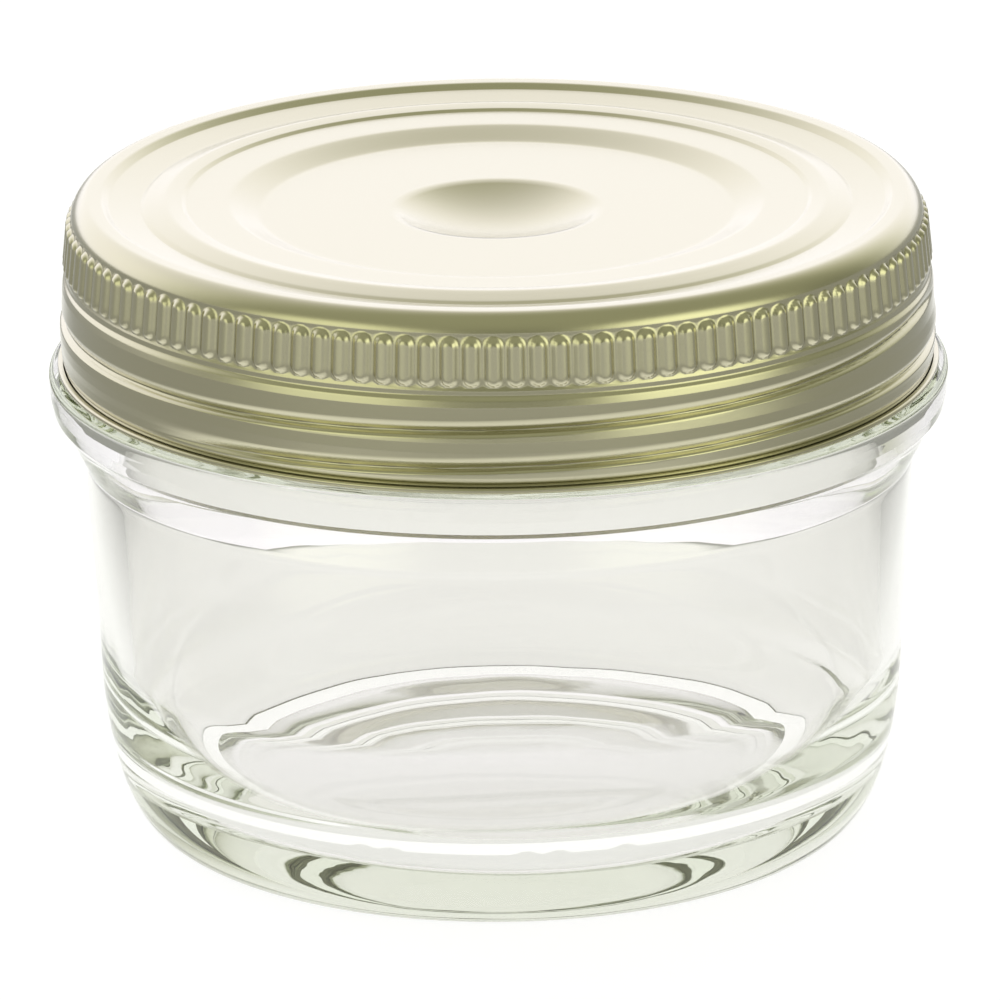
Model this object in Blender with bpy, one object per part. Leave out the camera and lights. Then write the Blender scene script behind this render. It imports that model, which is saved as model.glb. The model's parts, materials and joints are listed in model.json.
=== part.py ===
"""Wide, low preserving jar: a clear glass jar, a sealing capsule with its gasket, and a knurled screw cap.

All sizes are in metres, +Z is up, and the jar stands on Z = 0 with its axis on the Z axis.
"""
import math

import bmesh
import bpy

# Clearances
CLEARANCE = 0.0003
SCREW_GAP = 0.0014

# Glass jar: mouth, neck and rim; the neck's height follows from the cap
MOUTH_RADIUS = 0.0469
NECK_WALL = 0.0035
RIM_ROUND = 0.0014

# Glass jar: the round flange under the cap and the shoulder that carries it
FLANGE_HEIGHT = 0.0566
FLANGE_OVERHANG = 0.0047
FLANGE_RISE = 0.0007
FLANGE_ROUND = 0.0009
FLANGE_DROP = 0.0037
FLANGE_UNDERCUT = 0.0007
SHOULDER_DROP = 0.0064

# Glass jar: body, heel and foot
BODY_STEP = 0.0006
BODY_TAPER = 0.0014
HEEL_WIDTH = 0.0068
HEEL_HEIGHT = 0.0225
CONTACT_WIDTH = 0.0043
PUSH_UP_HEIGHT = 0.0029

# Glass jar: its inside, a bowl that narrows from the mouth to the floor
INNER_TAPER = 0.0011
FLOOR_THICKNESS = 0.0050
FLOOR_CROWN = 0.0012
BOWL_WIDTH = 0.0168
BOWL_HEIGHT = 0.0190

# Gasket and capsule
GASKET_THICKNESS = 0.0011
CAPSULE_SHEET = 0.0003
CAPSULE_OVERHANG = 0.0006
CAPSULE_LIP_DROP = 0.0013
CAPSULE_RAMP_WIDTH = 0.0033
CAPSULE_WELL_MARGIN = 0.0010

# Screw cap: the rings pressed in its top, as widths from the knurls inwards
CAP_SHEET = 0.00035
CAP_SHOULDER_WIDTH = 0.0023
CREST_OFFSET = 0.0015
CREST_SLOPE_WIDTH = 0.0015
VALLEY_WIDTH = 0.0037
VALLEY_SLOPE_WIDTH = 0.0038
RIDGE_WIDTH = 0.0017
STEP_WIDTH = 0.0056
STEP_SLOPE_WIDTH = 0.0025
DIMPLE_RADIUS = 0.0124

# Screw cap: how deep those rings lie below the highest one
VALLEY_DEPTH = 0.0013
RIDGE_DEPTH = 0.0004
STEP_DEPTH = 0.0011
PANEL_DEPTH = 0.0024
DIMPLE_DEPTH = 0.0031

# Screw cap: the knurls
KNURL_STAND = 0.00040
KNURL_TAPER = 0.0006
KNURL_RELIEF = 0.00045
KNURL_COUNT = 126
KNURL_TOP_DROP = 0.0024
KNURL_LENGTH = 0.0060
KNURL_END = 0.0008

# Screw cap: the waist under the knurls, the three rolled beads and the curled lip
WAIST_HEIGHT = 0.0015
UPPER_BEAD_HEIGHT = 0.0039
THREAD_PITCH = 0.0050
LOWER_BEAD_HEIGHT = 0.0017
LIP_HEIGHT = 0.0007
BEAD_RELIEF = 0.00095
UPPER_BEAD_SHARE = 0.60
LOWER_BEAD_SHARE = 0.70
LIP_FLARE = 0.00125
LIP_GAP = 0.00035

# How much leaner than a quarter ellipse the bowl's curve is, as a power of its sine and cosine
BOWL_SHARE = 1.1

# Where the face and the groove of one knurl begin, and whether that line stands proud
KNURL_SHARES = ((0.0, 1.0), (0.56, 1.0), (0.78, 0.0))

ROUND_SIDES = 48
CURVE_STEPS = 6
OUTER_BEAD_STEPS = 4
INNER_BEAD_STEPS = 2
MERGE_DISTANCE = 0.000001
SHARP_ANGLE = math.radians(32)

# Radii that follow from the sizes above
NECK_RADIUS = MOUTH_RADIUS + NECK_WALL
FLANGE_RADIUS = NECK_RADIUS + FLANGE_OVERHANG
BODY_RADIUS_TOP = NECK_RADIUS + BODY_STEP
BODY_RADIUS_LOW = BODY_RADIUS_TOP - BODY_TAPER
BASE_RADIUS = BODY_RADIUS_LOW - HEEL_WIDTH
CAPSULE_RADIUS = NECK_RADIUS + CAPSULE_OVERHANG
SKIRT_INNER_RADIUS = CAPSULE_RADIUS + SCREW_GAP
SKIRT_RADIUS = SKIRT_INNER_RADIUS + CAP_SHEET
KNURL_ROOT_RADIUS = SKIRT_RADIUS + KNURL_STAND - KNURL_RELIEF
KNURL_TOP_ROOT_RADIUS = KNURL_ROOT_RADIUS - KNURL_TAPER

# Radii of the rings in the cap's top, whose crest lies over the jar's rim
CREST_OUTER_RADIUS = KNURL_TOP_ROOT_RADIUS + KNURL_RELIEF - CAP_SHOULDER_WIDTH
CREST_INNER_RADIUS = MOUTH_RADIUS + CREST_OFFSET
VALLEY_OUTER_RADIUS = CREST_INNER_RADIUS - CREST_SLOPE_WIDTH
VALLEY_INNER_RADIUS = VALLEY_OUTER_RADIUS - VALLEY_WIDTH
RIDGE_RADIUS = VALLEY_INNER_RADIUS - VALLEY_SLOPE_WIDTH
STEP_OUTER_RADIUS = RIDGE_RADIUS - RIDGE_WIDTH
STEP_INNER_RADIUS = STEP_OUTER_RADIUS - STEP_WIDTH
PANEL_RADIUS = STEP_INNER_RADIUS - STEP_SLOPE_WIDTH

# How far the parts of the cap's side lie below its top
KNURL_FOOT_DROP = KNURL_TOP_DROP + KNURL_LENGTH
WAIST_DROP = KNURL_FOOT_DROP + WAIST_HEIGHT
UPPER_GROOVE_DROP = WAIST_DROP + UPPER_BEAD_HEIGHT
LOWER_GROOVE_DROP = UPPER_GROOVE_DROP + THREAD_PITCH
LIP_DROP = LOWER_GROOVE_DROP + LOWER_BEAD_HEIGHT
CAP_HEIGHT = LIP_DROP + LIP_HEIGHT

# Heights that follow from the sizes above
FLANGE_FOOT = FLANGE_HEIGHT - FLANGE_DROP
FLANGE_TOP = FLANGE_HEIGHT + FLANGE_RISE
SHOULDER_FOOT = FLANGE_FOOT - SHOULDER_DROP
CAP_TOP = FLANGE_TOP + LIP_GAP + CAP_HEIGHT
CAPSULE_TOP = CAP_TOP - CAP_SHEET - CLEARANCE
JAR_HEIGHT = CAPSULE_TOP - CAPSULE_SHEET - CLEARANCE - GASKET_THICKNESS - CLEARANCE


def clear_scene():
    for item in list(bpy.data.objects):
        bpy.data.objects.remove(item, do_unlink=True)


def principled(name, colour, metallic, roughness):
    material = bpy.data.materials.new(name)
    material.use_nodes = True
    shader = material.node_tree.nodes["Principled BSDF"]
    shader.inputs["Base Color"].default_value = (*colour, 1.0)
    shader.inputs["Metallic"].default_value = metallic
    shader.inputs["Roughness"].default_value = roughness
    return material, shader


def clear_glass():
    material, shader = principled("clear_glass", (0.93, 0.95, 0.93), 0.0, 0.02)
    shader.inputs["Transmission Weight"].default_value = 1.0
    shader.inputs["IOR"].default_value = 1.51
    return material


def gold_lacquer():
    material, _ = principled("gold_lacquer", (0.66, 0.61, 0.45), 1.0, 0.34)
    return material


def lacquered_tin():
    material, _ = principled("lacquered_tin", (0.80, 0.77, 0.66), 1.0, 0.30)
    return material


def sealing_compound():
    material, _ = principled("sealing_compound", (0.78, 0.74, 0.66), 0.0, 0.55)
    return material


def curve_points(start, end, corner, steps=CURVE_STEPS, power=1):
    """A quarter ellipse from start to end, whose tangents meet at the corner; start is left out."""
    points = []
    for step in range(1, steps + 1):
        turn = math.pi / 2 * step / steps
        along_start = 1 - math.sin(turn) ** power
        along_end = 1 - max(math.cos(turn), 0) ** power
        radius = corner[0] + (start[0] - corner[0]) * along_start + (end[0] - corner[0]) * along_end
        height = corner[1] + (start[1] - corner[1]) * along_start + (end[1] - corner[1]) * along_end
        points.append((radius, height))
    return points


def dish_points(radius, edge_height, centre_height, steps=CURVE_STEPS):
    """A round dish, from just outside its centre to just inside its edge."""
    points = []
    for step in range(1, steps):
        share = step / steps
        points.append((radius * share, centre_height + (edge_height - centre_height) * share ** 2))
    return points


def sway_points(start, end, steps=CURVE_STEPS):
    """An S-shaped slope between two upright walls, from just after start to end."""
    points = []
    for step in range(1, steps + 1):
        share = step / steps
        sway = (1 - math.cos(math.pi * share)) / 2
        radius = start[0] + (end[0] - start[0]) * sway
        points.append((radius, start[1] + (end[1] - start[1]) * share))
    return points


def finished_object(name, bm, material, parent=None, level=0.0):
    """Turn a bmesh into an object whose origin lies on the jar's axis, level above its parent's."""
    bmesh.ops.recalc_face_normals(bm, faces=bm.faces)
    mesh = bpy.data.meshes.new(name)
    bm.to_mesh(mesh)
    bm.free()
    mesh.materials.append(material)
    mesh.shade_smooth()
    mesh.set_sharp_from_angle(angle=SHARP_ANGLE)
    item = bpy.data.objects.new(name, mesh)
    item.location = (0, 0, level)
    item.parent = parent
    bpy.context.scene.collection.objects.link(item)
    return item


def turned(outline, closed=False):
    """Spin an outline of (radius, height) points round the Z axis into a closed skin."""
    bm = bmesh.new()
    points = [bm.verts.new((radius, 0, height)) for radius, height in outline]
    edges = [bm.edges.new(pair) for pair in zip(points, points[1:])]
    if closed:
        edges.append(bm.edges.new((points[-1], points[0])))
    whole_turn = 2 * math.pi
    bmesh.ops.spin(bm, geom=points + edges, axis=(0, 0, 1), angle=whole_turn, steps=ROUND_SIDES)
    bmesh.ops.remove_doubles(bm, verts=bm.verts, dist=MERGE_DISTANCE)
    return bm


def glass_outside():
    """The jar's outside, from the centre of its foot out and up to the round of the rim."""
    contact_inner = BASE_RADIUS - CONTACT_WIDTH
    outline = [(0, PUSH_UP_HEIGHT)]
    outline += dish_points(contact_inner, 0, PUSH_UP_HEIGHT, 3)
    outline += [(contact_inner, 0), (BASE_RADIUS, 0)]
    outline += curve_points(outline[-1], (BODY_RADIUS_LOW, HEEL_HEIGHT), (BODY_RADIUS_LOW, 0))
    outline.append((BODY_RADIUS_TOP, SHOULDER_FOOT))
    outline += sway_points(outline[-1], (FLANGE_RADIUS - FLANGE_UNDERCUT, FLANGE_FOOT))
    outline += curve_points(outline[-1], (FLANGE_RADIUS, FLANGE_HEIGHT), (FLANGE_RADIUS, FLANGE_FOOT), 3)
    flange_edge = (FLANGE_RADIUS - FLANGE_ROUND, FLANGE_TOP)
    outline += curve_points(outline[-1], flange_edge, (FLANGE_RADIUS, FLANGE_TOP), 3)
    outline += [(NECK_RADIUS, FLANGE_TOP), (NECK_RADIUS, JAR_HEIGHT - RIM_ROUND)]
    rim_corner = (NECK_RADIUS, JAR_HEIGHT)
    outline += curve_points(outline[-1], (NECK_RADIUS - RIM_ROUND, JAR_HEIGHT), rim_corner, 3)
    return outline


def glass_inside():
    """The jar's inside, from the rim down the mouth and wall to the centre of the floor."""
    bowl_radius = MOUTH_RADIUS - INNER_TAPER
    outline = [(MOUTH_RADIUS + RIM_ROUND, JAR_HEIGHT)]
    rim_corner = (MOUTH_RADIUS, JAR_HEIGHT)
    outline += curve_points(outline[-1], (MOUTH_RADIUS, JAR_HEIGHT - RIM_ROUND), rim_corner, 3)
    outline += [(MOUTH_RADIUS, FLANGE_TOP), (bowl_radius, FLOOR_THICKNESS + BOWL_HEIGHT)]
    floor_edge = (bowl_radius - BOWL_WIDTH, FLOOR_THICKNESS)
    outline += curve_points(outline[-1], floor_edge, (bowl_radius, FLOOR_THICKNESS), 7, BOWL_SHARE)
    crown_height = FLOOR_THICKNESS + FLOOR_CROWN
    outline += reversed(dish_points(floor_edge[0], floor_edge[1], crown_height, 3))
    outline.append((0, crown_height))
    return outline


def make_glass_jar():
    return finished_object("glass_jar", turned(glass_outside() + glass_inside()), clear_glass())


def capsule_well():
    """The capsule's sunk middle, which follows the cap's dimple, from its centre to its edge."""
    well_radius = DIMPLE_RADIUS + CAPSULE_WELL_MARGIN
    centre = -PANEL_DEPTH - DIMPLE_DEPTH
    return [(0, centre)] + dish_points(well_radius, -PANEL_DEPTH, centre, 4) + [(well_radius, -PANEL_DEPTH)]


def make_capsule():
    """The loose sealing lid: a sunk panel, a ramp, a flat rim over the gasket and a turned-down lip."""
    rim_inner = CREST_INNER_RADIUS + CLEARANCE
    ramp_foot = rim_inner - CAPSULE_RAMP_WIDTH
    lip_round = CAPSULE_LIP_DROP / 2
    lip_inner = CAPSULE_RADIUS - CAPSULE_SHEET
    under_level = -PANEL_DEPTH - CAPSULE_SHEET
    outline = capsule_well()
    outline += [(ramp_foot, -PANEL_DEPTH), (rim_inner, 0), (CAPSULE_RADIUS - lip_round, 0)]
    outline += curve_points(outline[-1], (CAPSULE_RADIUS, -lip_round), (CAPSULE_RADIUS, 0), 3)
    outline += [(CAPSULE_RADIUS, -CAPSULE_LIP_DROP), (lip_inner, -CAPSULE_LIP_DROP)]
    outline += [(lip_inner, -lip_round), (CAPSULE_RADIUS - lip_round, -CAPSULE_SHEET)]
    outline += [(rim_inner + CAPSULE_SHEET, -CAPSULE_SHEET), (ramp_foot + CAPSULE_SHEET, under_level)]
    outline += [(radius, height - CAPSULE_SHEET) for radius, height in reversed(capsule_well())]
    return finished_object("sealing_capsule", turned(outline), lacquered_tin(), level=CAPSULE_TOP)


def make_gasket(capsule):
    """The ring of sealing compound between the capsule's rim and the jar's."""
    outer = CAPSULE_RADIUS - CAPSULE_SHEET - CLEARANCE
    inner = CREST_INNER_RADIUS + CAPSULE_SHEET + CLEARANCE
    edge = GASKET_THICKNESS / 4
    outline = [(inner, 0), (outer - edge, 0), (outer, -edge)]
    outline += [(outer, edge - GASKET_THICKNESS), (outer - edge, -GASKET_THICKNESS)]
    outline += [(inner + edge, -GASKET_THICKNESS), (inner, edge - GASKET_THICKNESS)]
    ring_skin = turned(outline, closed=True)
    level = -CAPSULE_SHEET - CLEARANCE
    return finished_object("sealing_gasket", ring_skin, sealing_compound(), capsule, level)


def cap_top_outline():
    """The pressed rings of the cap's top, from the centre of the dimple out to the highest ring."""
    dimple_edge = (DIMPLE_RADIUS, -PANEL_DEPTH)
    outline = [(0, -PANEL_DEPTH - DIMPLE_DEPTH)]
    outline += dish_points(DIMPLE_RADIUS, dimple_edge[1], outline[0][1], 4)
    outline += [dimple_edge, (PANEL_RADIUS, -PANEL_DEPTH), (STEP_INNER_RADIUS, -STEP_DEPTH)]
    outline += [(STEP_OUTER_RADIUS, -STEP_DEPTH), (RIDGE_RADIUS, -RIDGE_DEPTH)]
    outline += [(VALLEY_INNER_RADIUS, -VALLEY_DEPTH), (VALLEY_OUTER_RADIUS, -VALLEY_DEPTH)]
    outline += [(CREST_INNER_RADIUS, 0), (CREST_OUTER_RADIUS, 0)]
    return outline


def bead_points(start_drop, end_drop, relief, steps):
    """One rolled bead between two grooves, from just after the first to the second."""
    points = []
    for step in range(1, steps + 1):
        share = step / steps
        radius = SKIRT_RADIUS + relief * math.sin(math.pi * share)
        points.append((radius, -start_drop - (end_drop - start_drop) * share))
    return points


def skirt_outline(bead_steps):
    """The skirt below the knurls: a waist, three rolled beads and the curled lip."""
    lip_radius = SKIRT_RADIUS + LIP_FLARE
    outline = [(SKIRT_RADIUS, -WAIST_DROP)]
    outline += bead_points(WAIST_DROP, UPPER_GROOVE_DROP, BEAD_RELIEF * UPPER_BEAD_SHARE, bead_steps)
    outline += bead_points(UPPER_GROOVE_DROP, LOWER_GROOVE_DROP, BEAD_RELIEF, bead_steps)
    outline += bead_points(LOWER_GROOVE_DROP, LIP_DROP, BEAD_RELIEF * LOWER_BEAD_SHARE, bead_steps)
    outline += [(lip_radius, -LIP_DROP - LIP_HEIGHT / 2), (lip_radius, -CAP_HEIGHT)]
    return outline


def ring(radius, height):
    """One plain ring of points round the axis."""
    turns = [2 * math.pi * side / ROUND_SIDES for side in range(ROUND_SIDES)]
    return [(radius * math.cos(turn), radius * math.sin(turn), height) for turn in turns]


def knurled_ring(height, root_radius, relief=0):
    """One ring of points that follows the faces and the grooves of all the knurls."""
    points = []
    for knurl in range(KNURL_COUNT):
        for share, proud in KNURL_SHARES:
            turn = 2 * math.pi * (knurl + share) / KNURL_COUNT
            radius = root_radius + relief * proud
            points.append((radius * math.cos(turn), radius * math.sin(turn), height))
    return points


def bridge(bm, first, second):
    """Join two rings of points, which may have unlike numbers of points or be a single pole."""
    coarse, fine = sorted((first, second), key=len)
    for index, point in enumerate(fine):
        after = fine[(index + 1) % len(fine)]
        owner = coarse[round(index * len(coarse) / len(fine)) % len(coarse)]
        next_owner = coarse[round((index + 1) * len(coarse) / len(fine)) % len(coarse)]
        bm.faces.new((owner, point, after))
        if next_owner != owner:
            bm.faces.new((owner, after, next_owner))


def loft(rings):
    """Skin a list of rings of points, in order, into one body."""
    bm = bmesh.new()
    loops = [[bm.verts.new(point) for point in points] for points in rings]
    for first, second in zip(loops, loops[1:]):
        bridge(bm, first, second)
    return bm


def cap_outside_rings():
    """The outside of the cap: pressed top, round shoulder, knurls and rolled skirt."""
    top = cap_top_outline()
    shoulder_end = (KNURL_TOP_ROOT_RADIUS, KNURL_END - KNURL_TOP_DROP)
    shoulder = curve_points(top[-1], shoulder_end, (shoulder_end[0], 0), 5)
    rings = [[(0, 0, top[0][1])]]
    rings += [ring(*point) for point in top[1:] + shoulder]
    rings.append(knurled_ring(-KNURL_TOP_DROP, KNURL_TOP_ROOT_RADIUS))
    rings.append(knurled_ring(-KNURL_TOP_DROP - KNURL_END, KNURL_TOP_ROOT_RADIUS, KNURL_RELIEF))
    rings.append(knurled_ring(KNURL_END - KNURL_FOOT_DROP, KNURL_ROOT_RADIUS, KNURL_RELIEF))
    rings.append(knurled_ring(-KNURL_FOOT_DROP, KNURL_ROOT_RADIUS))
    rings += [ring(*point) for point in skirt_outline(OUTER_BEAD_STEPS)]
    return rings


def cap_inside_rings():
    """The inside of the cap, one sheet's thickness within the outside, from the lip to the centre."""
    top = cap_top_outline()
    wall_radius = KNURL_TOP_ROOT_RADIUS - CAP_SHEET
    skirt = [(radius - CAP_SHEET, height) for radius, height in skirt_outline(INNER_BEAD_STEPS)]
    under = [(radius, height - CAP_SHEET) for radius, height in top]
    wall_top = (wall_radius, -KNURL_TOP_DROP)
    shoulder = curve_points(under[-1], wall_top, (wall_radius, under[-1][1]), 3)
    rings = [ring(*point) for point in reversed(skirt)]
    rings += [ring(*point) for point in reversed(shoulder)]
    rings += [ring(*point) for point in reversed(under[1:])]
    rings.append([(0, 0, under[0][1])])
    return rings


def make_screw_cap(capsule):
    rings = cap_outside_rings() + cap_inside_rings()
    return finished_object("screw_cap", loft(rings), gold_lacquer(), capsule, CAP_TOP - CAPSULE_TOP)


def main():
    clear_scene()
    make_glass_jar()
    capsule = make_capsule()
    make_gasket(capsule)
    make_screw_cap(capsule)


main()
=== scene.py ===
"""The looks of a wide, low glass jar with a knurled gold screw cap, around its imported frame.

Lengths are in metres. The jar stands on Z = 0, its axis is the Z axis, and the viewer is on the
-Y side.
"""
import json
import math

import bpy
import numpy as np
from mathutils import Euler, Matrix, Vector


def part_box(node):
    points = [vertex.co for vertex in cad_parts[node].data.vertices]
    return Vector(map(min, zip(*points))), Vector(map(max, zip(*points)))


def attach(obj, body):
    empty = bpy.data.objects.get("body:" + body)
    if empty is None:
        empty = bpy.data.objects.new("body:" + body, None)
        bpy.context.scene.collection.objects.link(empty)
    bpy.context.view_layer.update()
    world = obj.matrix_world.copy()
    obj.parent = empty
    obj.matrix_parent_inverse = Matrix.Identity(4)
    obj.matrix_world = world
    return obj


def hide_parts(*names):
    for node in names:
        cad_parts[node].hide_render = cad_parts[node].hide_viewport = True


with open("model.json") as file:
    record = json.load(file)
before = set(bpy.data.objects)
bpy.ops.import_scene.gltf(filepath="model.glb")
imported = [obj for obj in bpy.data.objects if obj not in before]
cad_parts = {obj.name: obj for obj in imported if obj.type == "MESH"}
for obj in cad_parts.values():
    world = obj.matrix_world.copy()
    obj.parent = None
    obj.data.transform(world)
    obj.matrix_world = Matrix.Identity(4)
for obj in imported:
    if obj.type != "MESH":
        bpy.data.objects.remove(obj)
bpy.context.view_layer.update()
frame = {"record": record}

MM = 0.001
TAU = 2 * math.pi

# Sizes read from the frame
JAR_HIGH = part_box("glass_jar")[1]
CAP_LOW, CAP_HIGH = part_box("screw_cap")
CAPSULE_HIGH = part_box("sealing_capsule")[1]
GASKET_LOW, GASKET_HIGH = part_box("sealing_gasket")
FLANGE_RADIUS = JAR_HIGH[0]
JAR_HEIGHT = JAR_HIGH[2]
CAP_TOP = CAP_HIGH[2]
CAP_LIP = CAP_LOW[2]
PITCH = abs(frame["record"]["behaviour"]["couplings"][0]["ratio"]) * TAU

# How finely the surfaces are divided
GLASS_SIDES = 384
CAP_SIDES = 252
KNURL_COUNT = 126
KNURL_SIDES = KNURL_COUNT * 10


def smooth_step(low, high, value):
    share = np.clip((value - low) / (high - low), 0, 1)
    return share * share * (3 - 2 * share)


def filleted(points, span=math.radians(9)):
    """Round each corner of (radius, height, fillet) points; a fillet of 0 keeps the corner."""
    corners = [Vector(point[:2]) for point in points]
    outline = [corners[0]]
    for index in range(1, len(points) - 1):
        here = corners[index]
        back = corners[index - 1] - here
        ahead = corners[index + 1] - here
        fillet = points[index][2]
        turn = math.pi - back.angle(ahead)
        if fillet == 0 or turn < 0.02:
            outline.append(here)
            continue
        reach = min(fillet * math.tan(turn / 2), 0.48 * back.length, 0.48 * ahead.length)
        start = here + back.normalized() * reach
        end = here + ahead.normalized() * reach
        steps = max(3, math.ceil(turn / span))
        for step in range(steps + 1):
            share = step / steps
            outline.append(start.lerp(here, share).lerp(here.lerp(end, share), share))
    outline.append(corners[-1])
    return np.array([tuple(point) for point in outline])


def divided(outline, longest):
    """Split the outline's long stretches so that no piece is longer than longest."""
    result = [outline[0]]
    for start, end in zip(outline, outline[1:]):
        count = max(1, math.ceil(np.linalg.norm(end - start) / longest))
        for step in range(1, count + 1):
            result.append(start + (end - start) * step / count)
    return np.array(result)


def in_metres(points):
    """Turn points whose numbers are all in millimetres into metres."""
    return [tuple(number * MM for number in point) for point in points]


def angles(sides):
    return np.arange(sides) * TAU / sides


def row(turn, radius, height):
    """One ring of points, from an array of angles and of radii and heights that may follow them."""
    radius = np.broadcast_to(radius, turn.shape)
    height = np.broadcast_to(height, turn.shape)
    return np.stack([radius * np.cos(turn), radius * np.sin(turn), height], axis=1)


def pole(height):
    """A ring that is one point on the axis."""
    return np.array([[0.0, 0.0, height]])


def strip(first, second, first_start, second_start):
    """Faces between two rings with equal counts, or with one count 1 or a divisor of the other."""
    if first > second:
        return [face[::-1] for face in strip(second, first, second_start, first_start)]
    here = np.arange(second)
    ahead = (here + 1) % second
    if first == 1:
        return [(first_start, second_start + b, second_start + a) for a, b in zip(here, ahead)]
    if first == second:
        corners = (first_start + here, first_start + ahead)
        corners += (second_start + ahead, second_start + here)
        return list(zip(*(corner.tolist() for corner in corners)))
    faces = []
    ratio = second // first
    for side in range(first):
        near = first_start + side
        far = first_start + (side + 1) % first
        middle = side * ratio + ratio // 2
        for index in range(side * ratio, (side + 1) * ratio):
            owner = near if index < middle else far
            faces.append((owner, second_start + (index + 1) % second, second_start + index))
        faces.append((near, far, second_start + middle))
    return faces


def skin(name, rows, body, node, material, closed=False):
    """Build one closed surface from rings of points and put it in the place of a CAD node."""
    counts = [len(points) for points in rows]
    starts = np.cumsum([0] + counts).tolist()
    faces = []
    for index in range(len(rows) - 1):
        faces += strip(counts[index], counts[index + 1], starts[index], starts[index + 1])
    if closed:
        faces += strip(counts[-1], counts[0], starts[-2], 0)
    mesh = bpy.data.meshes.new(name)
    mesh.from_pydata(np.concatenate(rows).tolist(), [], faces)
    mesh.validate()
    mesh.materials.append(material)
    mesh.shade_smooth()
    piece = bpy.data.objects.new(name, mesh)
    bpy.context.scene.collection.objects.link(piece)
    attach(piece, body)
    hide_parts(node)
    return piece


# Node materials. A pair of colours or of roughnesses holds the two ends that a noise blends.

GLASS_IOR = 1.5
GLASS_TINTS = ((0.922, 0.915, 0.905), (0.934, 0.927, 0.917))
GLASS_SMEARS = (0.0, 0.02)
GLASS_ABSORPTION = (0.68, 0.72, 0.58, 1)
GLASS_DENSITY = 15.0
GOLD_TINTS = ((0.585, 0.56, 0.385), (0.63, 0.60, 0.425))
GOLD_ROUGHNESS = (0.20, 0.29)
GOLD_COAT_ROUGHNESS = 0.2
TIN_TINTS = ((0.80, 0.77, 0.66), (0.86, 0.84, 0.74))
TIN_ROUGHNESS = (0.2, 0.34)
COMPOUND_TINTS = ((0.72, 0.67, 0.58), (0.80, 0.76, 0.68))
COMPOUND_ROUGHNESS = (0.42, 0.62)
COMPOUND_SUBSURFACE = 0.1


class Nodes:
    """A short way to write a material's nodes."""

    def __init__(self, name):
        self.material = bpy.data.materials.new(name)
        self.material.use_nodes = True
        self.tree = self.material.node_tree
        self.shader = self.tree.nodes["Principled BSDF"]

    def add(self, kind, inputs=None, **settings):
        node = self.tree.nodes.new(kind)
        for key, value in settings.items():
            setattr(node, key, value)
        for key, value in (inputs or {}).items():
            if isinstance(value, bpy.types.NodeSocket):
                self.tree.links.new(value, node.inputs[key])
            else:
                node.inputs[key].default_value = value
        return node

    def link(self, output, target):
        self.tree.links.new(output, self.shader.inputs[target])

    def place(self, scale=(1, 1, 1)):
        """The object's own coordinates, stretched."""
        where = self.add("ShaderNodeTexCoord").outputs["Object"]
        return self.add("ShaderNodeMapping", {"Vector": where, "Scale": scale}).outputs["Vector"]

    def noise(self, scale, detail=3.0, stretch=(1, 1, 1)):
        inputs = {"Vector": self.place(stretch), "Scale": scale, "Detail": detail}
        return self.add("ShaderNodeTexNoise", inputs).outputs["Fac"]

    def between(self, factor, low, high, start=0.0, end=1.0):
        """Map a factor that runs from start to end onto low to high."""
        span = {"From Min": start, "From Max": end, "To Min": low, "To Max": high}
        return self.add("ShaderNodeMapRange", {"Value": factor, **span}).outputs["Result"]

    def math(self, operation, *values):
        inputs = dict(enumerate(values))
        return self.add("ShaderNodeMath", inputs, operation=operation).outputs["Value"]

    def blend(self, factor, first, second):
        mix = self.add("ShaderNodeMix", data_type="RGBA")
        self.tree.links.new(factor, mix.inputs["Factor"])
        mix.inputs[6].default_value = (*first, 1)
        mix.inputs[7].default_value = (*second, 1)
        return mix.outputs[2]

    def bump(self, height, strength, distance):
        inputs = {"Height": height, "Strength": strength, "Distance": distance}
        return self.add("ShaderNodeBump", inputs).outputs["Normal"]


def glass_material():
    """Clear, faintly green glass with slight waves and a few smears."""
    nodes = Nodes("clear_glass")
    nodes.shader.inputs["Transmission Weight"].default_value = 1.0
    nodes.shader.inputs["IOR"].default_value = GLASS_IOR
    nodes.link(nodes.blend(nodes.noise(12, detail=2), *GLASS_TINTS), "Base Color")
    smears = nodes.between(nodes.noise(60), *GLASS_SMEARS, start=0.35, end=0.8)
    nodes.link(smears, "Roughness")
    waves = nodes.noise(45, detail=2, stretch=(1, 1, 0.6))
    nodes.link(nodes.bump(waves, strength=0.35, distance=0.4 * MM), "Normal")
    inputs = {"Color": GLASS_ABSORPTION, "Density": GLASS_DENSITY}
    green = nodes.add("ShaderNodeVolumeAbsorption", inputs)
    output = nodes.tree.nodes["Material Output"]
    nodes.tree.links.new(green.outputs["Volume"], output.inputs["Volume"])
    return nodes.material


def gold_material():
    """Pale gold lacquer over tinplate, with a fine rolled grain and faint cloudiness."""
    nodes = Nodes("gold_lacquer")
    nodes.shader.inputs["Metallic"].default_value = 1.0
    nodes.shader.inputs["Coat Weight"].default_value = 1.0
    nodes.shader.inputs["Coat Roughness"].default_value = GOLD_COAT_ROUGHNESS
    cloud = nodes.noise(26, detail=4)
    grain = nodes.noise(900, detail=2, stretch=(1, 0.08, 1))
    nodes.link(nodes.blend(cloud, *GOLD_TINTS), "Base Color")
    nodes.link(nodes.between(cloud, *GOLD_ROUGHNESS), "Roughness")
    nodes.link(nodes.bump(grain, strength=0.12, distance=0.05 * MM), "Normal")
    return nodes.material


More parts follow.
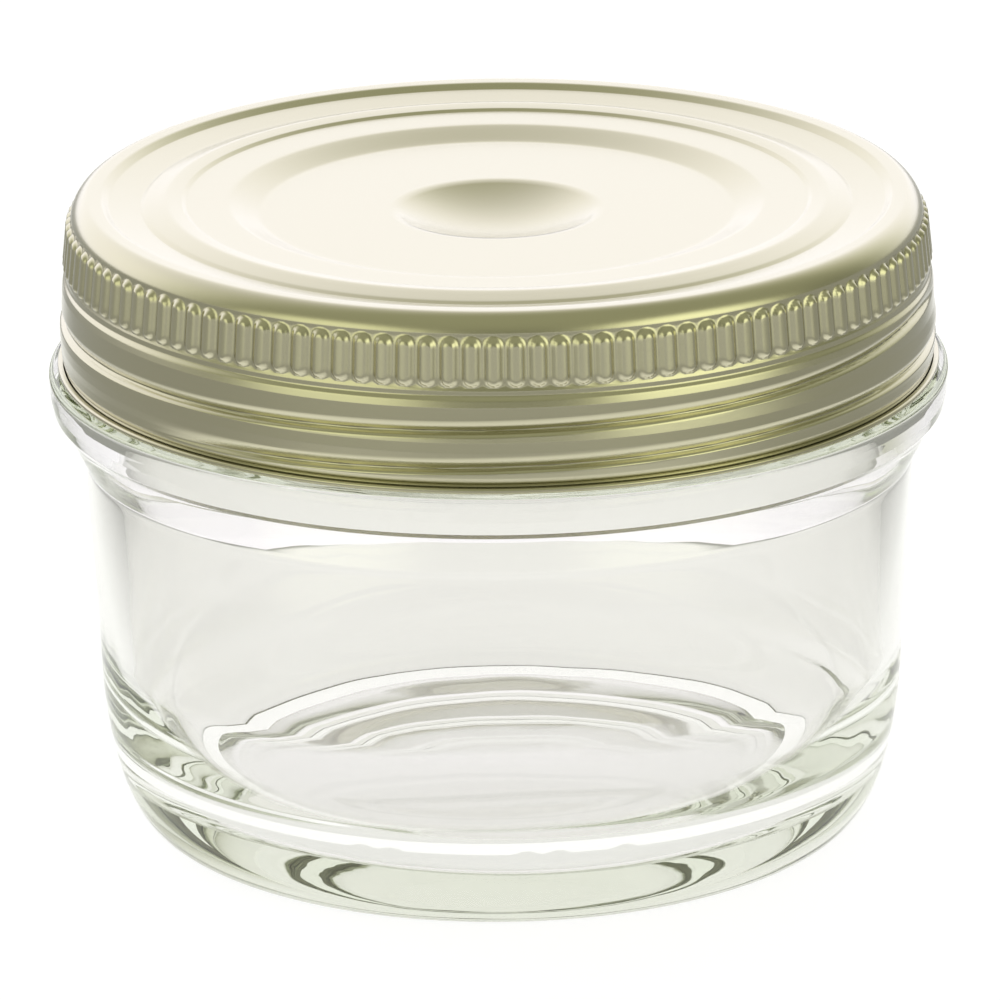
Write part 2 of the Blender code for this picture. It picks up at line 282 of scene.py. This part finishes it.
def tin_material():
    """Lacquered tinplate, rolled in one direction."""
    nodes = Nodes("lacquered_tin")
    nodes.shader.inputs["Metallic"].default_value = 1.0
    grain = nodes.noise(700, stretch=(1, 0.1, 1))
    nodes.link(nodes.blend(nodes.noise(30), *TIN_TINTS), "Base Color")
    nodes.link(nodes.between(nodes.noise(55, detail=4), *TIN_ROUGHNESS), "Roughness")
    nodes.link(nodes.bump(grain, strength=0.15, distance=0.05 * MM), "Normal")
    return nodes.material


def compound_material():
    """The gasket's matt sealing compound."""
    nodes = Nodes("sealing_compound")
    nodes.link(nodes.blend(nodes.noise(80, detail=5), *COMPOUND_TINTS), "Base Color")
    nodes.link(nodes.between(nodes.noise(140), *COMPOUND_ROUGHNESS), "Roughness")
    pores = nodes.noise(500, detail=4)
    nodes.link(nodes.bump(pores, strength=0.3, distance=0.1 * MM), "Normal")
    nodes.shader.inputs["Subsurface Weight"].default_value = COMPOUND_SUBSURFACE
    return nodes.material


# Screw cap

SHEET = 0.35 * MM
DIMPLE_RADIUS = 12.4 * MM
DIMPLE_DEPTH = 3.1 * MM
PANEL_DEPTH = 2.4 * MM

# The rings pressed into the top: radius, height over the cap's top, and fillet, in millimetres
TOP_RINGS = (
    (12.4, -2.4, 0.5), (29.0, -2.4, 2.0), (32.6, -1.1, 2.0), (37.9, -1.0, 0.3), (38.4, -0.65, 0.4),
    (40.3, -0.4, 2.0), (42.8, -1.0, 1.5), (43.4, -1.3, 0.25), (47.3, -0.75, 0.4),
    (48.2, -0.05, 0.7), (49.6, 0.0, 0.5),
)

SHOULDER_RING = 49.9 * MM
SHOULDER_FOOT = CAP_TOP - 2.3 * MM
SHOULDER_POWER = 1.25
SHOULDER_STEPS = 12

KNURL_TOP_RADIUS = 52.55 * MM
KNURL_FOOT_RADIUS = 53.15 * MM
KNURL_TOP = CAP_TOP - 2.75 * MM
KNURL_FOOT = CAP_TOP - 8.4 * MM
KNURL_RELIEF = 0.6 * MM
KNURL_CENTRE_SHARE = 0.28
KNURL_FACE_SHARE = 0.37
KNURL_FLANK = (-0.28 * MM, 0.42 * MM)
KNURL_CROWN = 0.25

# The beads rolled into the skirt: height and radius, in millimetres
SKIRT_BEADS = (
    (69.9, 52.72), (69.3, 52.72), (68.85, 53.05), (68.0, 53.22), (66.6, 53.28), (65.1, 53.35),
    (63.8, 53.55), (62.6, 53.62), (61.4, 53.58), (60.4, 53.48), (59.4, 53.42), (58.8, 53.25),
    (58.35, 52.85),
)
BEAD_FILLET = 0.5 * MM
CURL_RADIUS = 54.0 * MM
CURL_HEIGHT = 58.35 * MM
CURL_WIDTH = 0.6 * MM
CURL_FILLET = 0.3 * MM

# The thread groove rolled into the skirt: its path as turn in degrees and height in millimetres
GROOVE_TURNS = (-505, -475, -450, -410, -360, -180, -130, -90, -50, -35, -20, -5)
GROOVE_HEIGHTS = (59.4, 60.0, 60.6, 61.2, 61.7, 63.9, 64.4, 65.1, 65.8, 66.4, 67.2, 67.8)
GROOVE_DEPTH = 0.8 * MM
GROOVE_ABOVE = 1.5 * MM
GROOVE_BELOW = 0.55 * MM
GROOVE_POWER = 1.6

# The longest stretch between rings of points
TOP_STRETCH = 0.9 * MM
KNURL_STRETCH = 0.3 * MM
SKIRT_STRETCH = 0.16 * MM
UNDER_STRETCH = 1.2 * MM


def groove_depth(turn, height):
    """How deep the rolled thread groove is at each angle, for one height on the skirt."""
    depth = np.zeros_like(turn)
    degrees = np.degrees(turn)
    for lap in (-360, -720):
        unwound = degrees + lap
        centre = np.interp(unwound, GROOVE_TURNS, GROOVE_HEIGHTS) * MM
        across = height - centre
        wide = np.where(across > 0, GROOVE_ABOVE, GROOVE_BELOW)
        shape = np.clip(1 - np.abs(across) / wide, 0, 1) ** GROOVE_POWER
        ends = smooth_step(GROOVE_TURNS[0], GROOVE_TURNS[1], unwound)
        ends = ends * smooth_step(GROOVE_TURNS[-1], GROOVE_TURNS[-2], unwound)
        depth = np.maximum(depth, GROOVE_DEPTH * shape * ends)
    return depth


def top_outline(lowered=0.0):
    """The cap's pressed top, from the edge of the dimple to the top of the outer ring."""
    outline = []
    for radius, height, fillet in TOP_RINGS:
        outline.append((radius * MM, CAP_TOP + height * MM - lowered, fillet * MM))
    return outline


def dimple_rows(lowered, turn):
    """The dished middle of the cap."""
    centre = CAP_TOP - PANEL_DEPTH - DIMPLE_DEPTH - lowered
    rows = [pole(centre)]
    for share in np.linspace(0, 0.95, 18)[1:]:
        rows.append(row(turn, DIMPLE_RADIUS * share, centre + DIMPLE_DEPTH * share ** 2))
    return rows


def shoulder_outline(lowered=0.0):
    """The round edge from the outer ring down to the knurled wall."""
    wall = KNURL_TOP_RADIUS - KNURL_RELIEF
    points = []
    for step in range(SHOULDER_STEPS + 1):
        turn = math.pi / 2 * step / SHOULDER_STEPS
        out, up = math.sin(turn), math.cos(turn)
        radius = SHOULDER_RING + (wall - SHOULDER_RING) * out ** SHOULDER_POWER
        height = SHOULDER_FOOT + (CAP_TOP - SHOULDER_FOOT) * up ** SHOULDER_POWER
        points.append((radius - lowered * out, height - lowered * up, 0))
    return points


def knurl_face(height):
    """The radius of the knurls' faces, whose band widens downwards."""
    share = (KNURL_TOP - height) / (KNURL_TOP - KNURL_FOOT)
    return KNURL_TOP_RADIUS + (KNURL_FOOT_RADIUS - KNURL_TOP_RADIUS) * share


def knurl_relief(turn, height):
    """The height of the knurls' faces, which are long ovals side by side."""
    pitch = TAU / KNURL_COUNT
    across = (turn / pitch - KNURL_CENTRE_SHARE + 0.5) % 1 - 0.5
    width = KNURL_FOOT_RADIUS * pitch
    sideways = np.abs(across) * width
    half = KNURL_FACE_SHARE * width
    over = max(0.0, height - (KNURL_TOP - half)) + max(0.0, (KNURL_FOOT + half) - height)
    inside = half - np.hypot(sideways, over)
    crown = 1 - KNURL_CROWN * (sideways / half) ** 2
    return KNURL_RELIEF * smooth_step(*KNURL_FLANK, inside) * crown


def skirt_outline():
    """The skirt from the foot of the knurls to the lip, without its thread groove."""
    points = [(KNURL_FOOT_RADIUS - KNURL_RELIEF, KNURL_FOOT, 0)]
    points += [(radius * MM, height * MM, BEAD_FILLET) for height, radius in SKIRT_BEADS]
    points += [(CURL_RADIUS, CURL_HEIGHT, CURL_FILLET), (CURL_RADIUS, CAP_LIP, CURL_FILLET)]
    points.append((CURL_RADIUS - CURL_WIDTH, CAP_LIP, 0))
    return divided(filleted(points), SKIRT_STRETCH)


def skirt_rows(turn, inward=0.0):
    rows = []
    for radius, height in skirt_outline():
        rows.append(row(turn, radius - inward - groove_depth(turn, height), height))
    return rows


def make_cap():
    turn = angles(CAP_SIDES)
    fine_turn = angles(KNURL_SIDES)
    top = filleted(top_outline() + shoulder_outline())
    rows = dimple_rows(0, turn)
    rows += [row(turn, radius, height) for radius, height in divided(top, TOP_STRETCH)]
    for height in np.arange(KNURL_TOP + KNURL_STRETCH, KNURL_FOOT - 0.1 * MM, -KNURL_STRETCH):
        base = knurl_face(height) - KNURL_RELIEF
        rows.append(row(fine_turn, base + knurl_relief(fine_turn, height), height))
    outside = skirt_rows(turn)
    inside = skirt_rows(turn, SHEET)
    rows += outside[2:] + inside[:2:-1]
    under = [(KNURL_TOP_RADIUS - KNURL_RELIEF - SHEET, KNURL_FOOT, 0)]
    under += shoulder_outline(SHEET)[::-1] + top_outline(SHEET)[::-1]
    under = divided(filleted(under), UNDER_STRETCH)
    rows += [row(turn, radius, height) for radius, height in under]
    rows += dimple_rows(SHEET, turn)[::-1]
    return skin("cap_shell", rows, "cap", "screw_cap", gold_material())


# Sealing capsule and gasket

CAPSULE_SHEET = 0.3 * MM
CAPSULE_EDGE_HEIGHT = 1.3 * MM
WELL_EDGE = DIMPLE_RADIUS + 1.0 * MM
GASKET_INNER = 49.0 * MM
GASKET_FILLET = 0.4 * MM


def make_capsule():
    """The loose lid: a well in a sunk panel, and a rim with its edge turned down."""
    turn = angles(CAP_SIDES)
    sheet = CAPSULE_SHEET
    edge, _, top = CAPSULE_HIGH
    foot = top - CAPSULE_EDGE_HEIGHT
    panel = top - PANEL_DEPTH
    well = []
    for share in np.linspace(0.1, 0.9, 9):
        well.append((WELL_EDGE * share, panel - DIMPLE_DEPTH * (1 - share ** 2), 0))
    outline = well + [
        (WELL_EDGE, panel, 0.5 * MM), (45.4 * MM, panel, 0.5 * MM), (48.7 * MM, top, 0.5 * MM),
        (edge, top, 0.6 * MM), (edge, foot, 0.1 * MM), (edge - sheet, foot, 0.1 * MM),
        (edge - sheet, top - 0.5 * MM, 0.3 * MM), (edge - 0.65 * MM, top - sheet, 0.2 * MM),
        (49.0 * MM, top - sheet, 0.5 * MM), (45.7 * MM, panel - sheet, 0.5 * MM),
        (WELL_EDGE, panel - sheet, 0.5 * MM),
    ]
    outline += [(radius, height - sheet, 0) for radius, height, _ in reversed(well)]
    centre = panel - DIMPLE_DEPTH
    rows = [pole(centre)]
    rows += [row(turn, radius, height) for radius, height in divided(filleted(outline), 1.5 * MM)]
    rows.append(pole(centre - sheet))
    return skin("capsule_disc", rows, "lid", "sealing_capsule", tin_material())


def make_gasket():
    turn = angles(CAP_SIDES)
    inner, outer = GASKET_INNER, GASKET_HIGH[0]
    low, top = GASKET_LOW[2], GASKET_HIGH[2]
    middle = (inner + outer) / 2
    fillet = GASKET_FILLET
    outline = [(middle, top, 0), (outer, top, fillet), (outer, low, fillet)]
    outline += [(inner, low, fillet), (inner, top, fillet), (middle, top, 0)]
    points = divided(filleted(outline), 0.4 * MM)[:-1]
    rows = [row(turn, radius, height) for radius, height in points]
    material = compound_material()
    return skin("gasket_ring", rows, "lid", "sealing_gasket", material, True)


# Glass jar

CONTACT_RADIUS = 38.5 * MM
FOOT_EDGE = 42.8 * MM
PUSH_UP = 2.9 * MM
WALL_RADIUS = 49.6 * MM
HEEL_HEIGHT = 22.5 * MM

# The outside from the wall to the flange: radius, height and fillet, in millimetres
GLASS_SHOULDER = ((51.0, 46.5, 3.0), (53.9, 52.2, 0.3), (54.7, 52.95, 0.3), (55.0, 54.4, 1.5))
FLANGE_LOW = 55.8 * MM
FLANGE_TOP = 57.3 * MM
NECK_RADIUS = 50.4 * MM
RIM_RADIUS = NECK_RADIUS - 1.7 * MM
RIM_FILLET = 1.5 * MM

MOUTH_RADIUS = 46.9 * MM
INSIDE_WALL = 45.8 * MM
BOWL_TOP = 24.0 * MM
BOWL_POWER = 0.9
BOWL_FLOOR_RADIUS = 31.0 * MM
BOWL_FLOOR_HEIGHT = 5.75 * MM

# How the inside strays from a true round: everywhere, and on top of that at the heel and floor
STRAY = 0.12 * MM
LOW_STRAY = 0.35 * MM
CALM_RADIUS = 30 * MM

# The thread on the neck, a ridge that the cap's groove runs on
RIDGE_RADIUS = 51.9 * MM
RIDGE_HALF_WIDTH = 1.2 * MM
RIDGE_HEIGHT = 67.5 * MM
RIDGE_START = 62.0 * MM
RIDGE_END = 68.6 * MM
RIDGE_FADE = 0.9 * MM

# Small moulded dots near the foot
DOT_TURNS = (-110.4, -106.0, -86.5, -82.3, -72.4)
DOT_HEIGHT = 10.4 * MM
DOT_RADIUS = 1.15 * MM
DOT_RELIEF = 0.16 * MM


def heel(foot_edge, wall, rise, steps=26):
    """A quarter ellipse from the foot up to the wall."""
    points = []
    for step in range(1, steps):
        turn = math.pi / 2 * step / steps
        radius = foot_edge + (wall - foot_edge) * math.sin(turn)
        points.append((radius, rise * (1 - math.cos(turn)), 0))
    return points


def bowl(wall, high, floor_edge, low, steps=30):
    """The inside's lean curve from the wall down to the floor."""
    points = []
    for step in range(1, steps):
        turn = math.pi / 2 * step / steps
        radius = wall - (wall - floor_edge) * (1 - math.cos(turn) ** BOWL_POWER)
        points.append((radius, low + (high - low) * (1 - math.sin(turn) ** BOWL_POWER), 0))
    return points


def glass_outside():
    points = []
    for share in np.linspace(0, 0.97, 24):
        points.append((CONTACT_RADIUS * share, PUSH_UP * (1 - share ** 2), 0))
    points += [(CONTACT_RADIUS, 0, 0.3 * MM), (FOOT_EDGE, 0, 0)]
    points += heel(FOOT_EDGE, WALL_RADIUS, HEEL_HEIGHT)
    points.append((WALL_RADIUS, HEEL_HEIGHT, 0))
    points += in_metres(GLASS_SHOULDER)
    points += [(FLANGE_RADIUS, FLANGE_LOW, 1.0 * MM), (FLANGE_RADIUS, FLANGE_TOP, 1.4 * MM)]
    points += [(NECK_RADIUS, FLANGE_TOP, 0.5 * MM), (NECK_RADIUS, JAR_HEIGHT, RIM_FILLET)]
    points.append((RIM_RADIUS, JAR_HEIGHT, 0))
    return divided(filleted(points), 0.7 * MM)


def glass_inside():
    points = [(RIM_RADIUS, JAR_HEIGHT, 0), (MOUTH_RADIUS, JAR_HEIGHT, RIM_FILLET)]
    points += [(MOUTH_RADIUS, FLANGE_TOP, 8 * MM), (INSIDE_WALL, BOWL_TOP, 0)]
    points += bowl(INSIDE_WALL, BOWL_TOP, BOWL_FLOOR_RADIUS, BOWL_FLOOR_HEIGHT)
    for share in np.linspace(1, 0, 16):
        points.append((BOWL_FLOOR_RADIUS * share, BOWL_FLOOR_HEIGHT, 0))
    return divided(filleted(points), 0.8 * MM)


def ridge_relief(turn, height):
    """The glass thread, a ridge that climbs round the neck."""
    relief = np.zeros_like(turn)
    for lap in range(-2, 4):
        centre = RIDGE_HEIGHT + PITCH * (turn / TAU - 0.75 + lap)
        across = np.abs(height - centre) / RIDGE_HALF_WIDTH
        shape = smooth_step(1.0, 0.2, across)
        ends = smooth_step(RIDGE_START, RIDGE_START + RIDGE_FADE, centre)
        ends = ends * smooth_step(RIDGE_END, RIDGE_END - RIDGE_FADE, centre)
        relief = np.maximum(relief, (RIDGE_RADIUS - NECK_RADIUS) * shape * ends)
    return relief


def dot_relief(turn, radius, height):
    relief = np.zeros_like(turn)
    for degrees in DOT_TURNS:
        sideways = (turn - math.radians(degrees) + math.pi) % TAU - math.pi
        distance = np.hypot(sideways * radius, height - DOT_HEIGHT)
        relief += DOT_RELIEF * smooth_step(DOT_RADIUS, 0.35 * DOT_RADIUS, distance)
    return relief


def uneven(turn, height):
    """How much the pressed inside strays from a true round, most at the heel and floor."""
    low = 1 - smooth_step(8 * MM, 34 * MM, height)
    waves = np.sin(2 * turn + 0.6) + 0.7 * np.sin(3 * turn + 2.1) + 0.4 * np.sin(5 * turn + 0.3)
    return (STRAY + LOW_STRAY * low) * waves


def make_glass():
    turn = angles(GLASS_SIDES)
    outside = glass_outside()
    rows = [pole(outside[0][1])]
    for radius, height in outside[1:]:
        reach = np.full_like(turn, radius)
        if radius > NECK_RADIUS - 0.3 * MM and height > FLANGE_TOP + 1.5 * MM:
            reach = reach + ridge_relief(turn, height)
        if radius > FOOT_EDGE + 0.7 * MM and height < HEEL_HEIGHT - 2.5 * MM:
            reach = reach + dot_relief(turn, radius, height)
        rows.append(row(turn, reach, height))
    inside = glass_inside()
    for radius, height in inside[1:-1]:
        calm = min(1, radius / CALM_RADIUS)
        stray = uneven(turn, height) * calm * smooth_step(72 * MM, 55 * MM, height)
        rise = 0.5 * stray * (height < 12 * MM) * calm
        rows.append(row(turn, radius + stray, height + rise))
    rows.append(pole(inside[-1][1]))
    return skin("jar_glass", rows, "jar", "glass_jar", glass_material())


# Floor, light and camera

CAMERA_TARGET_HEIGHT = 78 * MM
CAMERA_DISTANCE = 1030 * MM
CAMERA_ELEVATION = math.radians(16.5)
CAMERA_ROLL = 0.010
CAMERA_CLIP = (0.05, 20)
SENSOR = 36.0
IMAGE_SIZE = 1000
PIXELS_PER_METRE = 8200
TARGET_PIXEL_X = 499.8
TARGET_PIXEL_Y = 196

# The table's glow, the places over which it turns dim on the viewer's side and at the sides,
# and those over which it grows again far in front
FLOOR_HALF = 6.0
FLOOR_TINTS = ((0.28, 0.28, 0.28), (0.30, 0.30, 0.30))
FLOOR_GLOW = 0.9
FLOOR_GLOW_DIM = 0.18
FLOOR_GLOW_FAR = 0.4
FLOOR_FRONT = (-0.22, -0.08)
FLOOR_SIDE = (0.16, 0.09)
FLOOR_FAR = (-0.35, -0.75)

# The background's brightness and tone, and the upward and backward parts of a direction over
# which they change
SKY_FRONT = 0.26
SKY_FRONT_HIGH = 0.40
SKY_FRONT_RISE = (0.0, 0.9)
SKY_FRONT_TONE = (1, 1.02, 0.72, 1)
SKY_BACK = 1.32
SKY_ZENITH = 0.8
SKY_BACK_RISE = (0.4, 1.0)
SKY_BACK_TONE = (1, 0.98, 1.04, 1)
SKY_BRIGHT_SIDE = (-0.3, 0.95, 0)
SKY_BRIGHT_SPAN = (-0.05, 0.75)
SKY_PLAIN = 0.9
SKY_PLAIN_TONE = (1, 1, 1, 1)

# Azimuth, elevation and half width in degrees, and power
SOFTBOXES = ((52, 8, 20, 1.3), (-44, 5, 20, 0.9))

LIGHT_BOUNCES = 32


def make_camera():
    focal_pixels = PIXELS_PER_METRE * CAMERA_DISTANCE
    data = bpy.data.cameras.new("camera")
    data.sensor_width = SENSOR
    data.lens = SENSOR * focal_pixels / IMAGE_SIZE
    data.clip_start, data.clip_end = CAMERA_CLIP
    camera = bpy.data.objects.new("camera", data)
    back = math.cos(CAMERA_ELEVATION) * CAMERA_DISTANCE
    up = math.sin(CAMERA_ELEVATION) * CAMERA_DISTANCE
    camera.location = (0, -back, CAMERA_TARGET_HEIGHT + up)
    tilt = math.atan2(IMAGE_SIZE / 2 - TARGET_PIXEL_Y, focal_pixels)
    pan = math.atan2(IMAGE_SIZE / 2 - TARGET_PIXEL_X, focal_pixels)
    aim = Euler((math.pi / 2 - CAMERA_ELEVATION - tilt, 0, -pan))
    roll = Euler((0, 0, -CAMERA_ROLL))
    camera.rotation_euler = (aim.to_matrix() @ roll.to_matrix()).to_euler()
    bpy.context.scene.collection.objects.link(camera)
    bpy.context.scene.camera = camera


def make_floor():
    """A plain white table, whose light on the jar is dimmer from the front and the sides."""
    nodes = Nodes("pale_floor")
    nodes.link(nodes.blend(nodes.noise(3, detail=2), *FLOOR_TINTS), "Base Color")
    nodes.shader.inputs["Roughness"].default_value = 0.9
    nodes.shader.inputs["Specular IOR Level"].default_value = 0.1
    nodes.shader.inputs["Emission Color"].default_value = (1, 1, 1, 1)
    where = nodes.add("ShaderNodeSeparateXYZ", {"Vector": nodes.place()}).outputs
    lengthways = nodes.between(where["Y"], 0.0, 1.0, *FLOOR_FRONT)
    sideways = nodes.between(nodes.math("ABSOLUTE", where["X"]), 0.0, 1.0, *FLOOR_SIDE)
    share = nodes.math("MULTIPLY", lengthways, sideways)
    near = nodes.between(share, FLOOR_GLOW_DIM, FLOOR_GLOW)
    far = nodes.between(where["Y"], 0.0, FLOOR_GLOW_FAR, *FLOOR_FAR)
    glow = nodes.math("ADD", near, far)
    seen = nodes.add("ShaderNodeLightPath").outputs["Is Camera Ray"]
    nodes.link(nodes.between(seen, glow, FLOOR_GLOW), "Emission Strength")
    mesh = bpy.data.meshes.new("floor")
    corners = [(x * FLOOR_HALF, y * FLOOR_HALF, 0) for x, y in ((-1, -1), (1, -1), (1, 1), (-1, 1))]
    mesh.from_pydata(corners, [], [(0, 1, 2, 3)])
    mesh.materials.append(nodes.material)
    floor = bpy.data.objects.new("floor", mesh)
    bpy.context.scene.collection.objects.link(floor)


class Sky:
    """A short way to write the world's nodes."""

    def __init__(self):
        self.world = bpy.data.worlds.new("studio")
        self.world.use_nodes = True
        self.tree = self.world.node_tree
        self.background = self.tree.nodes["Background"]
        self.where = self.tree.nodes.new("ShaderNodeTexCoord").outputs["Generated"]
        parts = self.tree.nodes.new("ShaderNodeSeparateXYZ")
        self.tree.links.new(self.where, parts.inputs["Vector"])
        self.height = parts.outputs["Z"]

    def give(self, value, socket):
        """Link a node's output to a socket, or set the socket to a number or a colour."""
        if isinstance(value, bpy.types.NodeSocket):
            self.tree.links.new(value, socket)
        else:
            socket.default_value = value

    def ramp(self, value, start, end, low, high):
        """A soft step from low at start to high at end."""
        node = self.tree.nodes.new("ShaderNodeMapRange")
        node.interpolation_type = "SMOOTHSTEP"
        span = {"From Min": start, "From Max": end, "To Min": low, "To Max": high}
        for key, number in span.items():
            self.give(number, node.inputs[key])
        self.give(value, node.inputs["Value"])
        return node.outputs["Result"]

    def tone(self, factor, first, second):
        node = self.tree.nodes.new("ShaderNodeMix")
        node.data_type = "RGBA"
        for key, value in (("Factor", factor), (6, first), (7, second)):
            self.give(value, node.inputs[key])
        return node.outputs[2]

    def join(self, operation, first, second):
        node = self.tree.nodes.new("ShaderNodeMath")
        node.operation = operation
        self.give(first, node.inputs[0])
        self.give(second, node.inputs[1])
        return node.outputs["Value"]

    def along(self, aim):
        """How far each direction points along an aim."""
        node = self.tree.nodes.new("ShaderNodeVectorMath")
        node.operation = "DOT_PRODUCT"
        self.tree.links.new(self.where, node.inputs[0])
        node.inputs[1].default_value = aim
        return node.outputs["Value"]

    def softbox(self, azimuth, elevation, half_width, power):
        """A round soft glow; azimuth is counted from the viewer's side towards the right."""
        turn, rise = math.radians(azimuth), math.radians(elevation)
        aim = (math.sin(turn) * math.cos(rise), -math.cos(turn) * math.cos(rise), math.sin(rise))
        edge = math.cos(math.radians(half_width * 1.6))
        core = math.cos(math.radians(half_width * 0.5))
        return self.ramp(self.along(aim), edge, core, 0, power)


def make_world():
    """A plain white background, whose light on the jar is brightest from low behind it."""
    sky = Sky()
    behind = sky.ramp(sky.height, *SKY_BACK_RISE, SKY_BACK, SKY_ZENITH)
    weight = sky.ramp(sky.along(SKY_BRIGHT_SIDE), *SKY_BRIGHT_SPAN, 0, 1)
    front = sky.ramp(sky.height, *SKY_FRONT_RISE, SKY_FRONT, SKY_FRONT_HIGH)
    strength = sky.join("MULTIPLY", sky.join("SUBTRACT", behind, front), weight)
    strength = sky.join("ADD", strength, front)
    for softbox in SOFTBOXES:
        strength = sky.join("ADD", strength, sky.softbox(*softbox))
    seen = sky.tree.nodes.new("ShaderNodeLightPath").outputs["Is Camera Ray"]
    strength = sky.ramp(seen, 0, 1, strength, SKY_PLAIN)
    sky.give(strength, sky.background.inputs["Strength"])
    tone = sky.tone(weight, SKY_FRONT_TONE, SKY_BACK_TONE)
    sky.give(sky.tone(seen, tone, SKY_PLAIN_TONE), sky.background.inputs["Color"])
    bpy.context.scene.world = sky.world


make_glass()
make_capsule()
make_gasket()
make_cap()
make_floor()
make_world()
make_camera()
bpy.context.scene.view_settings.view_transform = "Standard"
bpy.context.scene.cycles.max_bounces = LIGHT_BOUNCES
bpy.context.scene.cycles.glossy_bounces = LIGHT_BOUNCES
bpy.context.scene.cycles.transmission_bounces = LIGHT_BOUNCES
